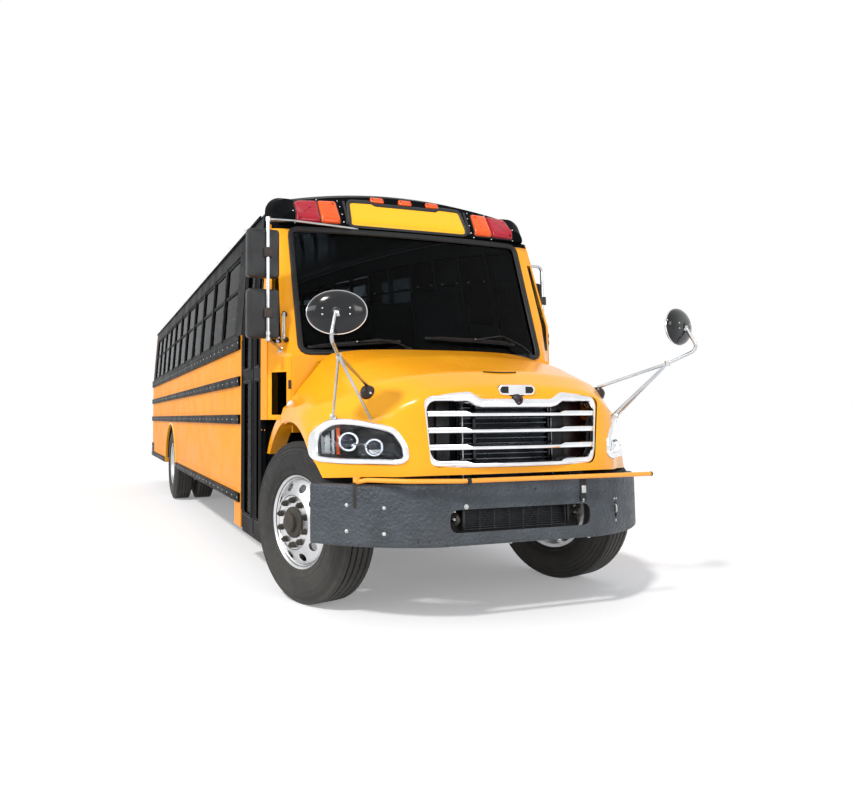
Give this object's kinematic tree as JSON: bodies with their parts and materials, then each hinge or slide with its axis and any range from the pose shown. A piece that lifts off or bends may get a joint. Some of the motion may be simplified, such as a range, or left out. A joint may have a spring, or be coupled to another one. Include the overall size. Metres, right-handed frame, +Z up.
{
  "type": "school bus",
  "caption": "Long-bonnet school bus with a tilting hood, folding entrance leaves, rear emergency door, roof hatches, swing-out stop and crossing arms, steered front wheels and twin rear wheels.",
  "frame": {"origin": "on the ground, in the middle of the length and width", "axes": "+X the way the bus drives, +Y its left side, +Z up"},
  "size_m": [11.0164, 2.707, 3.083],
  "materials": {
    "yellow_paint": "gloss",
    "white_paint": "gloss",
    "black_paint": "gloss",
    "frame_paint": "satin",
    "floor_steel": "matt",
    "tinted_glass": "tinted",
    "grey_plastic": "grained",
    "seat_cover": "grained vinyl",
    "bumper_steel": "textured",
    "engine_iron": "cast",
    "radiator_metal": "dull",
    "exhaust_steel": "dull",
    "red_lens": "clear",
    "mirror_shell": "gloss",
    "grille_metal": "bright",
    "clear_lens": "clear",
    "red_paint": "gloss",
    "yellow_tube": "gloss",
    "polished_rim": "polished",
    "tyre_rubber": "matt"
  },
  "bodies": {
    "bus": {"frame_rails": "frame_paint", "cross_members": "frame_paint", "front_springs": "engine_iron", "rear_springs": "engine_iron", "floor": "floor_steel", "right_side": "yellow_paint", "left_side": "yellow_paint", "side_rails": "black_paint", "roof": "white_paint", "rear_wall": "yellow_paint", "front_cap": "black_paint", "cowl": "yellow_paint", "front_glass": "tinted_glass", "right_windows": "tinted_glass", "left_windows": "tinted_glass", "rear_windows": "tinted_glass", "dashboard": "grey_plastic", "driver_seat": "seat_cover", "right_seats": "seat_cover", "left_seats": "seat_cover", "front_bumper": "bumper_steel", "bumper_ends": "bumper_steel", "hood_brackets": "frame_paint", "rear_bumper": "bumper_steel", "engine": "engine_iron", "radiator": "radiator_metal", "driveline": "engine_iron", "exhaust": "exhaust_steel", "fuel_tank": "frame_paint", "warning_lamps": "red_lens", "right_mirrors": "mirror_shell", "left_mirrors": "mirror_shell", "stop_arm_base": "black_paint", "front_axle": "frame_paint", "rear_axle": "frame_paint"},
    "hood": {"hood": "yellow_paint", "grille": "grille_metal", "headlights": "clear_lens", "crossview_mirrors": "mirror_shell"},
    "rear_leaf": {"rear_leaf": "black_paint"},
    "front_leaf": {"front_leaf": "black_paint"},
    "rear_door": {"rear_door": "yellow_paint"},
    "stop_arm": {"stop_arm": "red_paint"},
    "crossing_arm": {"crossing_arm": "yellow_tube"},
    "front_hatch": {"front_hatch": "white_paint"},
    "rear_hatch": {"rear_hatch": "white_paint"},
    "right_knuckle": {"right_knuckle": "engine_iron"},
    "left_knuckle": {"left_knuckle": "engine_iron"},
    "front_right_wheel": {"front_right_rim": "polished_rim", "front_right_tyre": "tyre_rubber"},
    "front_left_wheel": {"front_left_rim": "polished_rim", "front_left_tyre": "tyre_rubber"},
    "rear_right_wheels": {"rear_right_rims": "polished_rim", "rear_right_tyres": "tyre_rubber"},
    "rear_left_wheels": {"rear_left_rims": "polished_rim", "rear_left_tyres": "tyre_rubber"}
  },
  "joints": [
    {"name": "hood_tilt", "type": "hinge", "parent": "bus", "child": "hood", "pos_m": [5.2705, 0, 0.9], "axis": [0, 1, 0], "range_deg": [0, 60]},
    {"name": "rear_leaf_swing", "type": "hinge", "parent": "bus", "child": "rear_leaf", "pos_m": [3.0345, -1.192, 1.4], "axis": [0, 0, -1], "range_deg": [0, 90]},
    {"name": "front_leaf_swing", "type": "hinge", "parent": "bus", "child": "front_leaf", "pos_m": [3.7525, -1.192, 1.4], "axis": [0, 0, 1], "range_deg": [0, 90]},
    {"name": "rear_door_swing", "type": "hinge", "parent": "bus", "child": "rear_door", "pos_m": [-5.3945, -0.388, 1.9], "axis": [0, 0, 1], "range_deg": [0, 110]},
    {"name": "stop_arm_swing", "type": "hinge", "parent": "bus", "child": "stop_arm", "pos_m": [2.3185, 1.237, 1.65], "axis": [0, 0, -1], "range_deg": [0, 90]},
    {"name": "crossing_arm_swing", "type": "hinge", "parent": "bus", "child": "crossing_arm", "pos_m": [5.1485, -0.96, 0.845], "axis": [0, 0, -1], "range_deg": [0, 90]},
    {"name": "front_hatch_lift", "type": "hinge", "parent": "bus", "child": "front_hatch", "pos_m": [0.7485, 0, 3.041], "axis": [0, -1, 0], "range_deg": [0, 80]},
    {"name": "rear_hatch_lift", "type": "hinge", "parent": "bus", "child": "rear_hatch", "pos_m": [-2.0515, 0, 3.041], "axis": [0, -1, 0], "range_deg": [0, 80]},
    {"name": "right_steer", "type": "hinge", "parent": "bus", "child": "right_knuckle", "pos_m": [4.3585, -0.88, 0.525], "axis": [0, 0, 1], "range_deg": [-58, 22]},
    {"name": "left_steer", "type": "hinge", "parent": "bus", "child": "left_knuckle", "pos_m": [4.3585, 0.88, 0.525], "axis": [0, 0, 1], "range_deg": [-58, 22]},
    {"name": "front_right_spin", "type": "hinge", "parent": "right_knuckle", "child": "front_right_wheel", "pos_m": [4.39558, -0.99413, 0.525], "axis": [-0.309, 0.9511, 0], "continuous": true},
    {"name": "front_left_spin", "type": "hinge", "parent": "left_knuckle", "child": "front_left_wheel", "pos_m": [4.32142, 0.99413, 0.525], "axis": [-0.309, 0.9511, 0], "continuous": true},
    {"name": "rear_right_spin", "type": "hinge", "parent": "bus", "child": "rear_right_wheels", "pos_m": [-2.2205, -0.892, 0.525], "axis": [0, 1, 0], "continuous": true},
    {"name": "rear_left_spin", "type": "hinge", "parent": "bus", "child": "rear_left_wheels", "pos_m": [-2.2205, 0.892, 0.525], "axis": [0, 1, 0], "continuous": true}
  ],
  "couplings": [
    {"joint": "left_steer", "follows": "right_steer", "ratio": 1},
    {"joint": "front_leaf_swing", "follows": "rear_leaf_swing", "ratio": 1}
  ]
}
